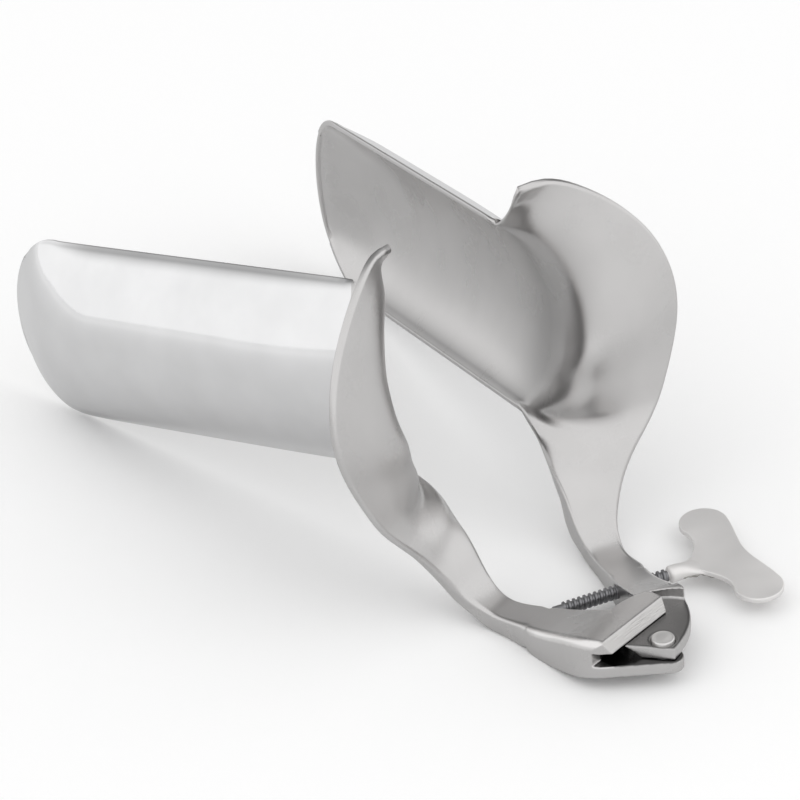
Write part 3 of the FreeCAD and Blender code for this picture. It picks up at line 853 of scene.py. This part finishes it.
nearHalf = halfPiece("nearHalf", "near", "fork_body", "fork_half")
farHalf = halfPiece("farHalf", "far", "tongue_body", "tongue_half")
print("halves", len(nearHalf.data.polygons), len(farHalf.data.polygons))
rod = makeScrew()
braze = brazeFillet()
wing = roundedNode("wing_plate", "wingPlate", "screw_body", "far", 0.28, 40)
rivet = hingePin()
print("screw, wing and pin", len(rod.data.polygons), len(wing.data.polygons))

for half in (nearHalf, farHalf):
    marks = np.zeros(len(half.data.polygons), np.int32)
    half.data.polygons.foreach_get("material_index", marks)
    dress(half, *halfFinishes)
    half.data.polygons.foreach_set("material_index", marks)
    print(half.name, "faces by finish", np.bincount(marks).tolist())
dress(braze, "brazeMetal")
dress(wing, "wingSteel")
dress(rivet, "pinSteel")
tip = nodes["screw_tip"]  # the solid itself is fine enough, and only gets its finish
keepPlace(tip, "far")
dress(tip, "threadSteel")
print("materials", sorted(made))

# Stage: pale floor, soft studio light, and the camera worked out from the photograph.

studio = {
    "floorSize": 2.4, "floorShade": 0.9, "floorRough": 0.9, "floorShine": 0.1,
    "floorNear": 0.74, "floorFar": 0.95, "paintedShadowMiddle": (-0.08, -0.02, 0), "paintedShadowReach": (0.08, 0.4),
    "darkSide": (-0.70, 0.45, 0.55), "darkReach": (0.6, 0.95), "darkDepth": 0.2, "worldLight": 0.8,
    "key": {"at": (-0.65, -0.7, 1.3), "size": 2.0, "power": 5.0},
    "fill": {"at": (0.9, 0.3, 0.9), "size": 1.0, "power": 3.0},
}


# Floor: white to the camera, pale to the light, and in reflections greyer round the object, a painted
# shadow under it.
def makeFloor():
    v = studio
    h = v["floorSize"] / 2
    floor = newPiece("floor", [(-h, -h, 0), (h, -h, 0), (h, h, 0), (-h, h, 0)], [(0, 1, 2, 3)])
    m = bpy.data.materials.new("paleFloor")
    tree = nodesOf(m)
    shader = tree.nodes["Principled BSDF"].inputs
    shader["Roughness"].default_value = v["floorRough"]
    shader["Specular IOR Level"].default_value = v["floorShine"]
    path = tree.nodes.new("ShaderNodeLightPath").outputs
    place = tree.nodes.new("ShaderNodeTexCoord").outputs["Object"]
    # painted shadow: in reflections the floor's colour is greyer near the object
    away = vectorNode(tree, "DISTANCE", "Value", place, v["paintedShadowMiddle"])
    greys = [v[key] * v["floorShade"] for key in ("floorNear", "floorFar")]
    seen = mapNode(tree, away, *v["paintedShadowReach"], *greys)
    pale = [v["floorShade"]] * 3 + [1]
    plain = mixNode(tree, "RGBA", path["Is Camera Ray"], pale, (1, 1, 1, 1))
    tree.links.new(mixNode(tree, "RGBA", path["Is Glossy Ray"], plain, seen), shader["Base Color"])
    floor.data.materials.append(m)


# World: white to the camera, and in reflections white but for one wide darker patch, where
# the real room was not lit.
def makeWorld():
    v = studio
    w = bpy.data.worlds.new("studio")
    bpy.context.scene.world = w
    tree = nodesOf(w)
    way = tree.nodes.new("ShaderNodeTexCoord").outputs["Generated"]
    toward = vectorNode(tree, "DOT_PRODUCT", "Value", way, v["darkSide"])
    patch = mapNode(tree, toward, *v["darkReach"], 1.0, v["darkDepth"], "SMOOTHSTEP")
    path = tree.nodes.new("ShaderNodeLightPath").outputs
    lit = mixNode(tree, "FLOAT", path["Is Glossy Ray"], v["worldLight"], patch)
    back = tree.nodes["Background"].inputs
    back["Color"].default_value = (1, 1, 1, 1)
    tree.links.new(mixNode(tree, "FLOAT", path["Is Camera Ray"], lit, 1.0), back["Strength"])


def softLamp(name):
    v = studio[name]
    lamp = bpy.data.lights.new(name, "AREA")
    lamp.shape = "SQUARE"
    lamp.size = v["size"]
    lamp.energy = v["power"]
    o = bpy.data.objects.new(name, lamp)
    o.location = v["at"]
    o.visible_glossy = False  # the steel mirrors the bright surroundings and no lamp
    o.rotation_mode = "QUATERNION"
    o.rotation_quaternion = (-Vector(v["at"])).to_track_quat("-Z", "Y")
    bpy.context.scene.collection.objects.link(o)


view = {"azimuth": 57.1, "elevation": 33.38, "roll": -5.34, "distance": 0.73092,
        "target": (-0.07236, 0.0, 0.02004), "focalPixels": 4103.64, "middlePixels": 4.93,
        "imagePixels": 800, "sensor": 36.0}


# Looks from azimuth and elevation at the target, rolled; the lens is the focal length in
# pixels over the image's width, times the sensor in millimetres. The target is set from the hinge.
def makeCamera():
    a, e, roll = (math.radians(view[k]) for k in ("azimuth", "elevation", "roll"))
    back = Vector((math.sin(a) * math.cos(e), -math.cos(a) * math.cos(e), math.sin(e)))
    right = (-back).cross(Vector((0, 0, 1))).normalized()
    up = right.cross(-back)
    right, up = (right * math.cos(roll) + up * math.sin(roll),
                 up * math.cos(roll) - right * math.sin(roll))
    data = bpy.data.cameras.new("camera")
    data.sensor_width = view["sensor"]
    data.lens = view["focalPixels"] / view["imagePixels"] * view["sensor"]
    data.shift_x = -view["middlePixels"] / view["imagePixels"]
    data.clip_start = 0.01
    cam = bpy.data.objects.new("camera", data)
    target = Vector(view["target"]) + Vector((hingeX * mm, 0, 0))
    turn = Matrix((right, up, back)).transposed()
    cam.matrix_world = Matrix.Translation(target + back * view["distance"]) @ turn.to_4x4()
    bpy.context.scene.collection.objects.link(cam)
    bpy.context.scene.camera = cam


makeFloor()
makeWorld()
softLamp("key")
softLamp("fill")
makeCamera()
bpy.context.scene.view_settings.view_transform = "Standard"
print("stage, light and camera")
